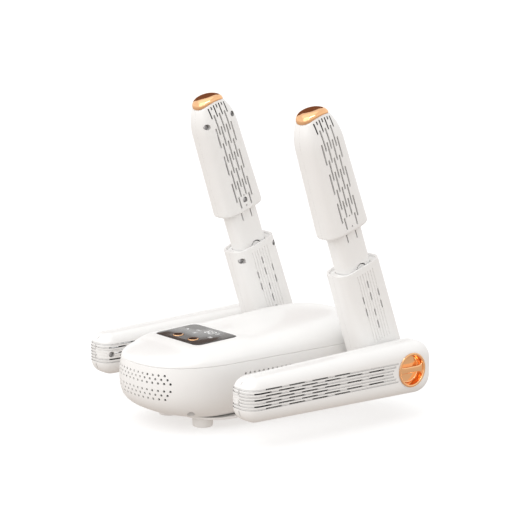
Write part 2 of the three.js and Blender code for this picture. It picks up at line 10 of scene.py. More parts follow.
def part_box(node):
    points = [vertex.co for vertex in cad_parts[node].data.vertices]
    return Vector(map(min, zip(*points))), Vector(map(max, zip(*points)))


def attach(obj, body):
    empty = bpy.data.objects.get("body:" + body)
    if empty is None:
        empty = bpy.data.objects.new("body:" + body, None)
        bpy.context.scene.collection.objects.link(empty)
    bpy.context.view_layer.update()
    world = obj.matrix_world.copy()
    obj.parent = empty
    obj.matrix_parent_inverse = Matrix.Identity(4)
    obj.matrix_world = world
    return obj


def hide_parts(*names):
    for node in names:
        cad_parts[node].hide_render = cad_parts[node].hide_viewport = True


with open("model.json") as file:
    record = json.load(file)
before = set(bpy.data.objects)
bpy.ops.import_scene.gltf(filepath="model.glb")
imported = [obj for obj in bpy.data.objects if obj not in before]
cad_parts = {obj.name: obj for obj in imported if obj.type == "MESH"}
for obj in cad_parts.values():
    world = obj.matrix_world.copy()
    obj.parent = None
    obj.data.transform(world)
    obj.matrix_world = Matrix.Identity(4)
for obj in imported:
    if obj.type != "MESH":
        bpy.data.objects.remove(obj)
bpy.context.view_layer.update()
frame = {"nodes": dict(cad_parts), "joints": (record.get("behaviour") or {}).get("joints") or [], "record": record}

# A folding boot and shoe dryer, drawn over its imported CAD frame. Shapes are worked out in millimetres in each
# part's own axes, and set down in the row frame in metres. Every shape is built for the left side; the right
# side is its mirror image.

# ---- driving dimensions, in millimetres ----
JOINTS = {joint["name"]: joint for joint in frame["joints"]}
BOOT_HINGE = Vector(JOINTS["left_boot_arm_hinge"]["pos_m"]) * 1000
SHOE_HINGE = Vector(JOINTS["left_shoe_arm_hinge"]["pos_m"]) * 1000
LEAN = -math.radians(JOINTS["left_boot_arm_hinge"]["range_deg"][0])

POD = dict(half_width=51, straight=46.1, end_depth=61.6, power=2.4, floor=9.5, belly=37, seam=52.6,
           crown=16.5, slope=0.07, fullness=3.4, nose_tuck=1.6, nose_curl=0.6, wall=2.2,
           edge_drop=18, edge_power=2.4, seam_draw=1.6)
ARM = dict(thickness=27, wall=2, round=10, hub=22.2, boot_shift=1.7)
SLEEVE = dict(mouth=84, end_radius=20.9, end_at=104, plate=2, recess=1.6)
TUBE = dict(width=28, depth=19, round=7, wall=1.5, bottom=60, top=150)
HEAD = dict(bottom=114.5, rim=207.4, half_width=21, taper=0.03, shoulder=186, crown=198, arch=3.2, floor=2)
CAP = dict(half_width=13.05, half_depth=10.6, dome=7.45)
CUP = dict(radius=13.6, body=12.6, inner=11.2, floor=5.2, rib=2.6)
PANEL = dict(x=28.4, y=20, round=5.5, centre=(0, -47.7, 65), tilt=2.6, thick=1.6)
KEY = dict(radius=4.3, x=9.9, y=-10.1)
AXLE = dict(inner=7, outer=9, running=0.35, collar=11.4, start=30, end=98.5)
PLATE = dict(width=84, depth=138, round=26, foot_hole=8.3, slot_half=20)
SOCKET = dict(half_width=12.3, low=17.7, high=34.3)
INLET = dict(width=24, height=16, middle=26, back=93.6, front=107.2, pin=1.2, pin_x=4)
NOSE_HOLES = dict(radius=0.95, pitch=5.05)
FLANK_HOLES = dict(radius=0.9, pitch=4.4, first=-38, count=11)
HEAD_SLOTS = dict(pitch=2.68, period=24.4, length=17.3, width=1.4, crown_width=1.05)
SLEEVE_SLOTS = dict(pitch=2.67, lowest=21, highest=79.5, groove=0.85, depth=0.45, width=1.3)
SHOE_SLOTS = dict(period=22.1, length=15.4, width=1.1, groove=1.2, depth=0.55)
GAP = 0.3
FACE = ARM["thickness"] / 2

SHOE_CIRCLES = [(9.2, 6.36, 14.45), (-147.8, 3.5, 11.7), (-147.8, -7.3, 11.7), (9.2, -6.48, 14.45)]
SLEEVE_CIRCLES = [(0, 0, ARM["hub"]), (0, SLEEVE["end_at"], SLEEVE["end_radius"])]


# ---- closed shapes as (points, faces) ----
def skin(rings):
    """A closed shape through rings of points; each ring runs anticlockwise seen from the last one."""
    rings = np.asarray(rings, float)
    count, sides = rings.shape[:2]
    index = np.arange(count * sides).reshape(count, sides)
    after = np.roll(index, -1, axis=1)
    quads = np.stack([index[:-1], after[:-1], after[1:], index[1:]], -1).reshape(-1, 4)
    return rings.reshape(-1, 3), quads.tolist() + [index[0][::-1].tolist(), index[-1].tolist()]


def merged(shapes):
    points, faces, start = [], [], 0
    for shape_points, shape_faces in shapes:
        points.append(shape_points)
        faces += [[start + i for i in face] for face in shape_faces]
        start += len(shape_points)
    return np.concatenate(points), faces


def moved(shape, matrix):
    points, faces = shape
    turn = np.array(matrix.to_3x3())
    return points @ turn.T + np.array(matrix.translation), faces


def box(low, high):
    (x0, y0, z0), (x1, y1, z1) = low, high
    corners = [(x0, y0), (x1, y0), (x1, y1), (x0, y1)]
    return skin([[(x, y, z) for x, y in corners] for z in (z0, z1)])


AXES = {
    "x": lambda a, b, along: (along, a, b),
    "y": lambda a, b, along: (b, along, a),
    "z": lambda a, b, along: (a, b, along),
}


def pushed(outline, start, end, axis="z"):
    """A flat outline pushed along an axis; for "x" it lies in YZ, for "y" in ZX, for "z" in XY."""
    return skin([[AXES[axis](a, b, along) for a, b in outline] for along in (start, end)])


def turned(profile, axis="z", sides=72, centre=(0, 0)):
    """A turned shape through (radius, station) points with flat ends."""
    angles = np.linspace(0, 2 * math.pi, sides, endpoint=False)
    return skin([
        [AXES[axis](centre[0] + r * math.cos(t), centre[1] + r * math.sin(t), along) for t in angles]
        for r, along in profile
    ])


def rod(radius, start, end, axis="x", centre=(0, 0), sides=32):
    return turned([(radius, start), (radius, end)], axis, sides, centre)


def superellipse(a, b, power, straight=0.0, sides=160, rear=None):
    """A ring of (x, y) points; straight pushes the two ends apart along y."""
    angles = (np.arange(sides) + 0.5) * 2 * math.pi / sides
    cos, sin = np.cos(angles), np.sin(angles)
    depth = np.where(sin < 0, b, b if rear is None else rear)
    x = a * np.sign(cos) * np.abs(cos) ** (2 / power)
    y = depth * np.sign(sin) * np.abs(sin) ** (2 / power) + np.sign(sin) * straight
    return np.stack([x, y], -1)


def filled_out(ring, longest=4.0):
    """The ring with its long straight stretches cut into short ones."""
    out = []
    for start, end in zip(ring, np.roll(ring, -1, axis=0)):
        parts = max(1, math.ceil(np.linalg.norm(end - start) / longest))
        out += [start + (end - start) * i / parts for i in range(parts)]
    return np.array(out)


def rounded_rectangle(width, height, radius, inset=0.0, steps=10):
    width, height, radius = width - 2 * inset, height - 2 * inset, max(radius - inset, 0.05)
    points = []
    for i, (sx, sy) in enumerate([(1, 1), (-1, 1), (-1, -1), (1, -1)]):
        for step in range(steps + 1):
            angle = math.pi / 2 * (i + step / steps)
            points.append((sx * (width / 2 - radius) + radius * math.cos(angle),
                           sy * (height / 2 - radius) + radius * math.sin(angle)))
    return points


def hull(circles, steps=144):
    """The outline round circles (y, z, radius): its points, and its outward normals."""
    angles = np.arange(steps) * 2 * math.pi / steps
    normals = np.stack([np.cos(angles), np.sin(angles)], -1)
    centres, radii = np.array([c[:2] for c in circles]), np.array([c[2] for c in circles])
    pick = (normals @ centres.T + radii).argmax(1)
    both = np.concatenate([centres[pick] + normals * radii[pick][:, None], normals], axis=1)
    both = filled_out(both, 4.0)
    points, normals = both[:, :2], both[:, 2:]
    return points, normals / np.linalg.norm(normals, axis=1)[:, None]


def pad(circles, inset=0.0, steps=10):
    """A flat-faced pad across X with rounded edges, its outline round circles in YZ."""
    points, normals = hull(circles)
    half, curve = FACE - inset, ARM["round"] - inset
    rings = []
    for side, turns in ((-1, range(steps, -1, -1)), (1, range(steps + 1))):
        for turn in turns:
            angle = math.pi / 2 * turn / steps
            x = side * (half - curve + curve * math.sin(angle))
            drawn = points - normals * (inset + curve * (1 - math.cos(angle)))
            rings.append(np.column_stack([np.full(len(drawn), x), drawn]))
    return skin(rings)


def stadium(centre, length, width, along, steps=5):
    """A round-ended outline that runs along the first (0) or the second (1) of its two axes."""
    reach = (length - width) / 2
    ends = [[centre[0], centre[1], width / 2], [centre[0], centre[1], width / 2]]
    ends[0][along] -= reach
    ends[1][along] += reach
    angles = (np.arange(4 * steps) + 0.5) * math.pi / 2 / steps
    return [
        (ends[1 if (math.cos(t), math.sin(t))[along] > 0 else 0][0] + width / 2 * math.cos(t),
         ends[1 if (math.cos(t), math.sin(t))[along] > 0 else 0][1] + width / 2 * math.sin(t))
        for t in angles
    ]


def slots(spots, width, depths, along):
    """Slot cutters from (across, from, to) spots, each pushed through the given stretches of X."""
    shapes = []
    for across, start, end in spots:
        centre = ((start + end) / 2, across) if along == 0 else (across, (start + end) / 2)
        outline = stadium(centre, end - start, width, along)
        shapes += [pushed(outline, low, high, "x") for low, high in depths]
    return merged(shapes)


# ---- Blender objects and booleans ----
def made(shape, name="work"):
    points, faces = shape
    mesh = bpy.data.meshes.new(name)
    mesh.from_pydata(points.tolist(), [], faces)
    obj = bpy.data.objects.new(name, mesh)
    bpy.context.scene.collection.objects.link(obj)
    return obj


def combined(body, shape, operation):
    """The body after a boolean with a shape or with another work object, which is used up."""
    body = body if isinstance(body, bpy.types.Object) else made(body)
    tool = shape if isinstance(shape, bpy.types.Object) else made(shape)
    change = body.modifiers.new("combine", "BOOLEAN")
    change.operation = operation
    change.solver = "MANIFOLD"
    change.object = tool
    graph = bpy.context.evaluated_depsgraph_get()
    result = bpy.data.meshes.new_from_object(body.evaluated_get(graph))
    body.modifiers.clear()
    body.data = result
    bpy.data.objects.remove(tool)
    return body


def cut(body, *shapes):
    for shape in shapes:
        body = combined(body, shape, "DIFFERENCE")
    return body


def joined(body, *shapes):
    for shape in shapes:
        body = combined(body, shape, "UNION")
    return body


def kept(body, shape):
    return combined(body, shape, "INTERSECT")


def copied(body):
    twin = body.copy()
    twin.data = body.data.copy()
    bpy.context.scene.collection.objects.link(twin)
    return twin


FAR = 300  # well past the whole object
SPLIT = 0.02  # half the gap between the two halves of a casing
OUTER_HALF = ((SPLIT, -FAR, -FAR), (FAR, FAR, FAR))
INNER_HALF = ((-FAR, -FAR, -FAR), (-SPLIT, FAR, FAR))


def skin_of(obj):
    """The points and faces of a work object, which is used up."""
    points = np.array([tuple(vertex.co) for vertex in obj.data.vertices])
    faces = [list(face.vertices) for face in obj.data.polygons]
    bpy.data.objects.remove(obj)
    return points, faces


def halves(body):
    """The outer (+X) and inner halves of a split casing."""
    return kept(copied(body), box(*OUTER_HALF)), kept(body, box(*INNER_HALF))


# ---- materials ----
def node_material(name):
    material = bpy.data.materials.new(name)
    material.use_nodes = True
    nodes, links = material.node_tree.nodes, material.node_tree.links
    shader = nodes["Principled BSDF"]
    place = nodes.new("ShaderNodeTexCoord")
    return material, nodes, links, shader, place


def noise(nodes, links, place, scale, detail=2.0):
    texture = nodes.new("ShaderNodeTexNoise")
    texture.inputs["Scale"].default_value = scale
    texture.inputs["Detail"].default_value = detail
    links.new(place.outputs["Object"], texture.inputs["Vector"])
    return texture


def spread(nodes, links, source, low, high, socket):
    """Maps a texture's middle range to low..high on a socket."""
    ramp = nodes.new("ShaderNodeMapRange")
    ramp.inputs["From Min"].default_value = 0.3
    ramp.inputs["From Max"].default_value = 0.7
    ramp.inputs["To Min"].default_value = low
    ramp.inputs["To Max"].default_value = high
    links.new(source, ramp.inputs["Value"])
    links.new(ramp.outputs["Result"], socket)


def tinted(nodes, links, source, first, second, socket):
    """Runs between two colours over a texture's middle range."""
    ramp = nodes.new("ShaderNodeValToRGB")
    ramp.color_ramp.elements[0].position = 0.35
    ramp.color_ramp.elements[0].color = (*first, 1)
    ramp.color_ramp.elements[1].position = 0.65
    ramp.color_ramp.elements[1].color = (*second, 1)
    links.new(source, ramp.inputs["Fac"])
    links.new(ramp.outputs["Color"], socket)


def bumped(nodes, links, source, shader, strength, distance):
    bump = nodes.new("ShaderNodeBump")
    bump.inputs["Strength"].default_value = strength
    bump.inputs["Distance"].default_value = distance
    links.new(source, bump.inputs["Height"])
    links.new(bump.outputs["Normal"], shader.inputs["Normal"])


def finish(name, first, second, rough, metallic=0.0, coat=0.0, coarse=40, fine=1800, bump=0.05):
    """A moulded, plated or drawn surface: broad colour drift, uneven gloss and a fine grain."""
    material, nodes, links, shader, place = node_material(name)
    broad = noise(nodes, links, place, coarse)
    grain = noise(nodes, links, place, fine, 3.0)
    tinted(nodes, links, broad.outputs["Fac"], first, second, shader.inputs["Base Color"])
    spread(nodes, links, noise(nodes, links, place, coarse * 4).outputs["Fac"], *rough,
           shader.inputs["Roughness"])
    bumped(nodes, links, grain.outputs["Fac"], shader, bump, 0.0001)
    shader.inputs["Metallic"].default_value = metallic
    shader.inputs["Coat Weight"].default_value = coat
    shader.inputs["Coat Roughness"].default_value = 0.06
    return material


WHITE = finish("white_gloss_plastic", (0.865, 0.857, 0.845), (0.872, 0.865, 0.853), (0.28, 0.33), coat=0.2,
               bump=0.015)
# Painted shade: a dark colour for faces deep inside the casings and for the tube's hidden ends.
PAINTED_INSIDE_SHADE = finish("shaded_inside", (0.10, 0.095, 0.09), (0.13, 0.125, 0.12), (0.6, 0.8))
# Painted shade: greys for the faces inside screw wells; the paler one is for the pod's base wells.
PAINTED_WELL_SHADE = finish("shaded_well", (0.42, 0.41, 0.40), (0.46, 0.45, 0.44), (0.5, 0.7))
PAINTED_PALE_WELL_SHADE = finish("painted_pale_well_shade", (0.66, 0.65, 0.64), (0.70, 0.69, 0.68), (0.4, 0.6))
# Painted dark reflection for the dish of each rose-gold key.
PAINTED_DARK_REFLECTION = finish("painted_dark_reflection_dish", (0.05, 0.027, 0.014), (0.06, 0.034, 0.018), (0.2, 0.3), 0.8, bump=0.02)
ROSE_GOLD = finish("rose_gold_plating", (0.90, 0.50, 0.25), (0.93, 0.55, 0.29), (0.07, 0.12), 1.0, bump=0.01)
SMOKED = finish("smoked_panel", (0.052, 0.049, 0.047), (0.056, 0.053, 0.051), (0.13, 0.15), bump=0.004)
SMOKED.node_tree.nodes["Principled BSDF"].inputs["Specular IOR Level"].default_value = 0.35
FOOT_GREY = finish("foot_rubber", (0.76, 0.75, 0.735), (0.80, 0.79, 0.775), (0.55, 0.7), bump=0.3)
STEEL = finish("zinc_steel", (0.55, 0.55, 0.56), (0.66, 0.66, 0.67), (0.25, 0.4), 1.0)
BLACK = finish("black_plastic", (0.02, 0.02, 0.022), (0.03, 0.03, 0.032), (0.45, 0.6), bump=0.2)
BOARD = finish("solder_mask", (0.02, 0.14, 0.05), (0.03, 0.18, 0.07), (0.3, 0.45))
FINS = finish("heater_fins", (0.62, 0.61, 0.58), (0.72, 0.71, 0.68), (0.35, 0.5), 1.0)
BRASS = finish("cutout_metal", (0.62, 0.42, 0.2), (0.7, 0.5, 0.26), (0.3, 0.4), 1.0)
PRINT = finish("printed_white", (0.95, 0.95, 0.95), (0.98, 0.98, 0.98), (0.5, 0.6))
SLOT_MATERIAL = {
    "white_casing": WHITE, "rose_gold": ROSE_GOLD, "smoked_panel": SMOKED, "foot_rubber": FOOT_GREY,
    "steel": STEEL, "dark_plastic": BLACK, "board": BOARD, "heater_fins": FINS, "cutout_metal": BRASS,
}
NODE_SLOT = {row["node"]: row["material_slot"] for row in frame["record"]["subparts"]}
for node_name, node in frame["nodes"].items():
    node.data.materials.clear()
    node.data.materials.append(SLOT_MATERIAL[NODE_SLOT[node_name]])


# ---- finishing a piece ----
def shaded(obj, degrees=30):
    obj.data.shade_smooth()
    obj.data.set_sharp_from_angle(angle=math.radians(degrees))


def darkened(obj, cover, depth, wells=(), well_shade=PAINTED_WELL_SHADE):
    """Paints shade: faces that lie deeper than depth under a cover skin get the dark painted shade.

    Faces inside a well, an (axis, across, across, radius), get the paler, grey painted shade of the wells.
    """
    points, faces = cover
    tree = BVHTree.FromPolygons(points.tolist(), faces)
    obj.data.materials.append(PAINTED_INSIDE_SHADE)
    obj.data.materials.append(well_shade)
    for face in obj.data.polygons:
        spot = face.center
        # Faces deep under the cover get the dark painted shade.
        if tree.find_nearest(spot)[3] > depth:
            face.material_index = 1
        for across, one, other, radius in wells:
            # Faces inside a screw well get the grey painted shade.
            if math.hypot(spot[across[0]] - one, spot[across[1]] - other) < radius + 0.05:
                face.material_index = 2


def dark_between(obj, low, high):
    """Paints shade: the faces below low and above high along z get the dark painted shade."""
    obj.data.materials.append(PAINTED_INSIDE_SHADE)
    for face in obj.data.polygons:
        if not low < face.center.z < high:
            face.material_index = 1


def set_down(obj, name, place, body, nodes=(), mirror=False):
    """Names a work object, puts it in the row frame and lets it ride on its body."""
    if mirror:
        obj.data.transform(Matrix.Diagonal((-1, 1, 1, 1)) @ place)
        obj.data.flip_normals()
    else:
        obj.data.transform(place)
    obj.data.transform(Matrix.Scale(0.001, 4))
    obj.name = obj.data.name = name
    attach(obj, body)
    if nodes:
        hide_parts(*nodes)
    return obj


def painted(obj, material=None, slot="white_casing", cover=None, depth=1.4, degrees=30, wells=(),
            well_shade=PAINTED_WELL_SHADE):
    obj.data.materials.clear()
    obj.data.materials.append(material or SLOT_MATERIAL[slot])
    # With a cover, faces deep under it get painted shade, and faces in screw wells a grey painted shade.
    if cover is not None:
        darkened(obj, cover, depth, wells, well_shade)
    shaded(obj, degrees)
    return obj


def both_sides(obj, name, place, body, node=None):
    """Sets a left piece down with its mirror image on the right."""
    twin = copied(obj)
    for side, piece, mirror in (("left", obj, False), ("right", twin, True)):
        nodes = [f"{side}_{node}"] if node else []
        owner = body if body == "base" else f"{side}_{body}"
        set_down(piece, f"{side}_{name}", place, owner, nodes, mirror)


IDENTITY = Matrix.Identity(4)
BOOT_PLACE = (Matrix.Translation(BOOT_HINGE) @ Matrix.Rotation(LEAN, 4, "X")
              @ Matrix.Translation((0, ARM["boot_shift"], 0)))
SHOE_PLACE = Matrix.Translation(SHOE_HINGE)


# ---- screws ----
SCREW = dict(head=1.9, height=0.75, shank=0.7, grip=5)
SEAT = dict(radius=2.3, wall=0.9, floor=1.5, bore=1.2, slack=0.05)
SLEEVE_SCREWS = [(-17.9, 76, 4.8), (16.6, 77, 3.6), (0, 24.6, 1)]
HEAD_SCREWS = [(-14, 194.5, 5), (12.4, 195.5, 4.2), (0, 124.5, 1)]
SHOE_SCREWS = [(-152.5, -1, 2.2), (-27, 0, 1)]


def screw_shape(head, height, shank, length):
    """A pan-head screw along +Z with a cross recess, its head's top at the origin."""
    profile = [(0.3 * head, 0), (0.75 * head, 0.06 * height), (0.95 * head, 0.35 * height),
               (head, 0.7 * height), (head, height), (shank, height + 0.05), (shank, length - shank),
               (0.2 * shank, length)]
    body = made(turned(profile, sides=32))
    blade = 0.16 * head
    depth = 0.6 * height
    return cut(body,
               box((-0.6 * head, -blade, -1), (0.6 * head, blade, depth)),
               box((-blade, -0.6 * head, -1), (blade, 0.6 * head, depth)))


def casing_screws(spots, place, body, kind):
    for number, (y, z, sunk) in enumerate(spots, 1):
        seat = FACE - sunk
        screw = screw_shape(SCREW["head"], SCREW["height"], SCREW["shank"], seat + SCREW["grip"])
        painted(screw, slot="steel")
        turn = Matrix.Translation((-seat, y, z)) @ Matrix.Rotation(math.pi / 2, 4, "Y")
        name = f"{kind}_screw_{number}"
        both_sides(screw, f"{name}_fine", place @ turn, body, name)


def with_wells(body, cover, spots):
    """Sunk screw seats on the inner face: a boss under each well, then the well itself."""
    bosses, wells = [], []
    for y, z, sunk in spots:
        seat = -(FACE - sunk - SCREW["height"] - SEAT["slack"])
        ledge = seat + SEAT["floor"]
        bosses.append(rod(SEAT["radius"] + SEAT["wall"], -FACE - 1, ledge, centre=(y, z)))
        wells.append(rod(SEAT["radius"], -FACE - 9, seat, centre=(y, z)))
        wells.append(rod(SEAT["bore"], seat - 1, ledge + 1, centre=(y, z), sides=16))
    boss = kept(merged(bosses), cover)
    return cut(joined(body, boss), merged(wells[0::2]), merged(wells[1::2]))


def seats_of(spots, side):
    return [((1, 2), y, z, SEAT["radius"]) for y, z, _ in spots] if side == "inner" else []


# ---- boot arms ----
THROUGH_WALLS = [(FACE - 5, FACE + 2), (-FACE - 2, -FACE + 5)]


def boot_sleeve():
    mouth, plate, recess = SLEEVE["mouth"], SLEEVE["plate"], SLEEVE["recess"]
    cover = pad(SLEEVE_CIRCLES)
    above = box((-FAR, -FAR, mouth), (FAR, FAR, FAR))
    body = cut(cover, above)
    shelf = box((-FAR, -FAR, mouth - recess - plate), (FAR, FAR, mouth - recess))
    hollow = cut(pad(SLEEVE_CIRCLES, ARM["wall"]), shelf)
    opening = rounded_rectangle(TUBE["depth"] + 2 * GAP, TUBE["width"] + 2 * GAP, TUBE["round"] + GAP)
    body = cut(body, hollow, pushed(opening, TUBE["bottom"], mouth + 9))
    pitch = SLEEVE_SLOTS["pitch"]
    grooves = [((k - 3) * pitch, SLEEVE_SLOTS["lowest"], SLEEVE_SLOTS["highest"]) for k in range(7)]
    depth = FACE - SLEEVE_SLOTS["depth"]
    body = cut(body, slots(grooves, SLEEVE_SLOTS["groove"], [(depth, FACE + 2), (-FACE - 2, -depth)], 1))
    middle = [(65.5, 72.2), (55.1, 62.1), (41.6, 47.8), (30.7, 37.6)]
    flank = [(55.2, 61.7), (44.6, 51.6)]
    vents = [(0, *span) for span in middle] + [(s * 3 * pitch, *span) for s in (-1, 1) for span in flank]
    body = cut(body, slots(vents, SLEEVE_SLOTS["width"], THROUGH_WALLS, 1))
    body = with_wells(body, cut(cover, above), SLEEVE_SCREWS)
    hinge = (-ARM["boot_shift"], 0)
    bore = rod(AXLE["outer"] + AXLE["running"], -FACE - 2, FACE + 2, centre=hinge, sides=64)
    return cut(body, bore), skin_of(cut(cover, above))


TUBE_SHOWN = (78.5, 117.0)


def tongue_slit(side):
    """An arched slit that frees a snap tongue in one flat face of the tube."""
    (y, z), radius, width = (0.8, 80.6), 5.6, 0.9
    low, high = sorted((side * 5, side * 12))
    ring = cut(rod(radius, low, high, centre=(y, z), sides=48),
               rod(radius - width, low - 1, high + 1, centre=(y, z), sides=48))
    return kept(ring, box((-FAR, -FAR, z - 1), (FAR, FAR, FAR)))


def boot_tube():
    outline = rounded_rectangle(TUBE["depth"], TUBE["width"], TUBE["round"])
    inner = rounded_rectangle(TUBE["depth"], TUBE["width"], TUBE["round"], TUBE["wall"])
    stations = (TUBE["bottom"], *TUBE_SHOWN, TUBE["top"])
    body = cut(skin([[(x, y, z) for x, y in outline] for z in stations]),
               pushed(inner, TUBE["bottom"] - 1, TUBE["top"] + 1))
    vents = [(s * 4.7, 106.6, 122) for s in (-1, 1)]
    body = cut(body, slots(vents, 1.1, [(-12, 12)], 1))
    for side in (-1, 1):
        body = cut(body, tongue_slit(side))
    return body


def head_widths(z, inset=0.0):
    above = max(0.0, (z - HEAD["shoulder"]) / (HEAD["rim"] - HEAD["shoulder"]))
    half_depth = FACE - 3.1 * above ** 2 - inset
    half_width = HEAD["half_width"] - HEAD["taper"] * (z - HEAD["bottom"]) - 5.04 * above ** 2.45 - inset
    return half_depth, half_width


def arch(y, half_width, height):
    return height * (1 - np.minimum(1, (y / half_width) ** 2))


def head_cover(inset, bottom, top, edge):
    """The head's skin: edge is the radius of its bottom edge, and the top follows the arch."""
    heights = list(np.linspace(bottom + edge, HEAD["shoulder"] - 6, 24)[:-1])
    heights += list(np.linspace(HEAD["shoulder"] - 6, top, 26))
    rings = []
    for turn in range(0, 8):
        angle = math.pi / 2 * turn / 8
        draw = edge * (1 - math.sin(angle))
        a, b = head_widths(bottom, inset + draw)
        rings.append((a, b, bottom + edge * (1 - math.cos(angle))))
    rings += [(*head_widths(z, inset), z) for z in heights]
    if not inset:
        a, b, z = rings[-1]
        rings += [(a - 0.25, b - 0.25, z + 0.2), (a - 0.8, b - 0.8, z + 0.25)]
    shape = []
    for a, b, z in rings:
        ring = superellipse(a, b, 3.2, sides=128)
        lift = np.clip((z - 192) / (HEAD["rim"] - 192), 0, 1) ** 2
        rise = arch(ring[:, 1], CAP["half_width"] - inset, HEAD["arch"]) * lift
        shape.append(np.column_stack([ring, z + rise]))
    return skin(shape)


def head_slot_spots():
    """Seven columns of staggered slots; the top ones follow the arch."""
    pitch, period, length = HEAD_SLOTS["pitch"], HEAD_SLOTS["period"], HEAD_SLOTS["length"]
    spots = []
    for column in range(7):
        across = (column - 3) * pitch
        top = HEAD["rim"] - 1.4 + arch(across, CAP["half_width"], HEAD["arch"])
        odd = column % 2
        first = 201.6 if odd else 191.0
        spots.append((across, 205.6 if odd else 198.8, top))
        for row in range(3):
            high = first - row * period
            low = high - length
            if column in (2, 4) and row == 2:
                low = 127.9
            spots.append((across, low, high))
        if column in (1, 5):
            spots.append((across, 118.5, 128.8))
    return spots + [(0, 127.7, 129.2), (0, 118.8, 120.2)]


def boot_head():
    cover = head_cover(0, HEAD["bottom"], HEAD["rim"], 2.5)
    hollow = head_cover(ARM["wall"], HEAD["bottom"] + HEAD["floor"], HEAD["rim"] - 2.4, 1)
    opening = rounded_rectangle(TUBE["depth"] + 2 * GAP, TUBE["width"] + 2 * GAP, TUBE["round"] + GAP)
    body = cut(cover, hollow, pushed(opening, 100, HEAD["bottom"] + 10))
    spots, through = head_slot_spots(), [(4, FACE + 2), (-FACE - 2, -4)]
    crown = [spot for spot in spots if spot[1] > HEAD["crown"]]
    lower = [spot for spot in spots if spot not in crown]
    body = cut(body, slots(crown, HEAD_SLOTS["crown_width"], through, 1))
    body = cut(body, slots(lower, HEAD_SLOTS["width"], through, 1))
    return with_wells(body, cover, HEAD_SCREWS), cover


def boot_cap():
    base = HEAD["rim"] + 0.5
    rings = [(0.95, 0.0), (0.985, 0.1), (1.0, 0.35), (1.0, 0.8)]
    rings += [(math.cos(t), 0.8 + (CAP["dome"] - 0.8) * math.sin(t)) for t in np.linspace(0.06, 1.53, 30)]
    shape = []
    for share, rise in rings:
        ring = superellipse(CAP["half_depth"] * share, CAP["half_width"] * share, 2.4, sides=128)
        lift = arch(ring[:, 1], CAP["half_width"], HEAD["arch"] * share ** 2)
        shape.append(np.column_stack([ring, base + rise + lift]))
    return made(skin(shape))


# ---- shoe arms ----
GROOVE_ROWS = [7.0, 4.62, 2.25, -0.15, -2.55, -4.95, -7.3]


def shoe_arm():
    cover = pad(SHOE_CIRCLES)
    body = cut(cover, pad(SHOE_CIRCLES, ARM["wall"]))
    ends = [-14, -16.5, -18.6, -19.8, -18.6, -16.5, -14]
    half = SHOE_SLOTS["groove"] / 2
    bands = merged([
        box((-FAR, -FAR, z - half), (FAR, end, z + half)) for z, end in zip(GROOVE_ROWS, ends)
    ])
    body = cut(body, cut(bands, pad(SHOE_CIRCLES, SHOE_SLOTS["depth"])))
    period, length = SHOE_SLOTS["period"], SHOE_SLOTS["length"]
    vents = []
    for row, z in enumerate(GROOVE_ROWS):
        odd = row % 2
        count = 6 if odd else 4 if row in (0, 6) else 3
        start = -154.1 if odd else -144.2
        vents += [(z, start + i * period, start + i * period + length) for i in range(count)]
    body = cut(body, slots(vents, SHOE_SLOTS["width"], THROUGH_WALLS, 0))
    dash = dict(length=4.5, width=1.1)
    dashes = [pushed(stadium_zx(0, z, **dash), -FAR, -155.5, "y") for z in (12.2, 4.3, -3.6, -11.5)]
    body = cut(body, merged(dashes))
    body = with_wells(body, cover, SHOE_SCREWS)
    cup_seat = rod(CUP["body"] + GAP, 6, FACE + 2, sides=96)
    bore = rod(AXLE["outer"] + AXLE["running"], -FACE - 2, 3, sides=64)
    return cut(body, cup_seat, bore), cover


def stadium_zx(x, z, length, width, steps=5):
    """A round-ended dash in ZX that runs along z."""
    return [(b, a) for a, b in stadium((x, z), length, width, 1, steps)][::-1]


def shoe_cup():
    """A plated finger cup with a rolled rim and a rounded rib that flares into the wall."""
    top, floor, inner = FACE + 0.9, FACE - CUP["floor"], CUP["inner"]
    rim = CUP["radius"]
    profile = [(CUP["body"], floor - 1.3), (CUP["body"], FACE + GAP), (rim, FACE + GAP), (rim, FACE + 0.55)]
    bead = [(rim - 0.95 + 0.95 * math.cos(t), FACE + 0.4 + 0.5 * math.sin(t))
            for t in np.linspace(0.25, math.pi, 12)]
    wall = [(inner + 0.35, FACE - 0.3), (inner, FACE - 1), (inner - 0.2, floor + 1)]
    toe = [(inner - 1.2 + math.cos(t), floor + 1 - math.sin(t)) for t in np.linspace(0.2, math.pi / 2, 6)]
    profile += bead + wall + toe + [(0.3, floor)]
    cup = made(turned(profile, "x", 96))
    rings = []
    for y in np.linspace(-inner - 0.9, inner + 0.9, 33):
        flare = 1.9 * (abs(y) / inner) ** 7
        width, height = CUP["rib"] + flare, CUP["floor"] + 0.1
        section = rounded_rectangle(2 * width, 2 * height, 1.1, steps=6)
        rings.append([(floor - 0.6 + x, y, z) for z, x in section])
    rib = kept(skin(rings), rod(inner + 0.5, floor - 0.6, top - 0.5, sides=96))
    return joined(cup, rib)


# ---- pod ----
def wall_inset(z):
    """How far the wall has drawn in at a height."""
    above = (z - POD["belly"]) / (POD["seam"] - POD["belly"])
    below = min((POD["belly"] - z) / (POD["belly"] - POD["floor"]), 1)
    if z > POD["belly"]:
        return POD["seam_draw"] * above ** 2
    return POD["edge_drop"] * (1 - math.sqrt(1 - below ** POD["edge_power"]))


def nose_tuck(z):
    """How much more the front draws in than the flanks at a height."""
    below = min((POD["belly"] - z) / (POD["belly"] - POD["floor"]), 1)
    return POD["nose_tuck"] + POD["nose_curl"] * below ** 3 if below > 0 else 1


def pod_ring(z, thinner=0.0):
    """A ring at a height with a fixed number of points: two ends and two straight flanks."""
    inset = wall_inset(z)
    return oval(POD["half_width"] - inset - thinner, POD["end_depth"] - inset * nose_tuck(z) - thinner,
                POD["end_depth"] - inset - thinner)


def at_height(ring, z):
    return np.column_stack([ring, np.full(len(ring), z)])


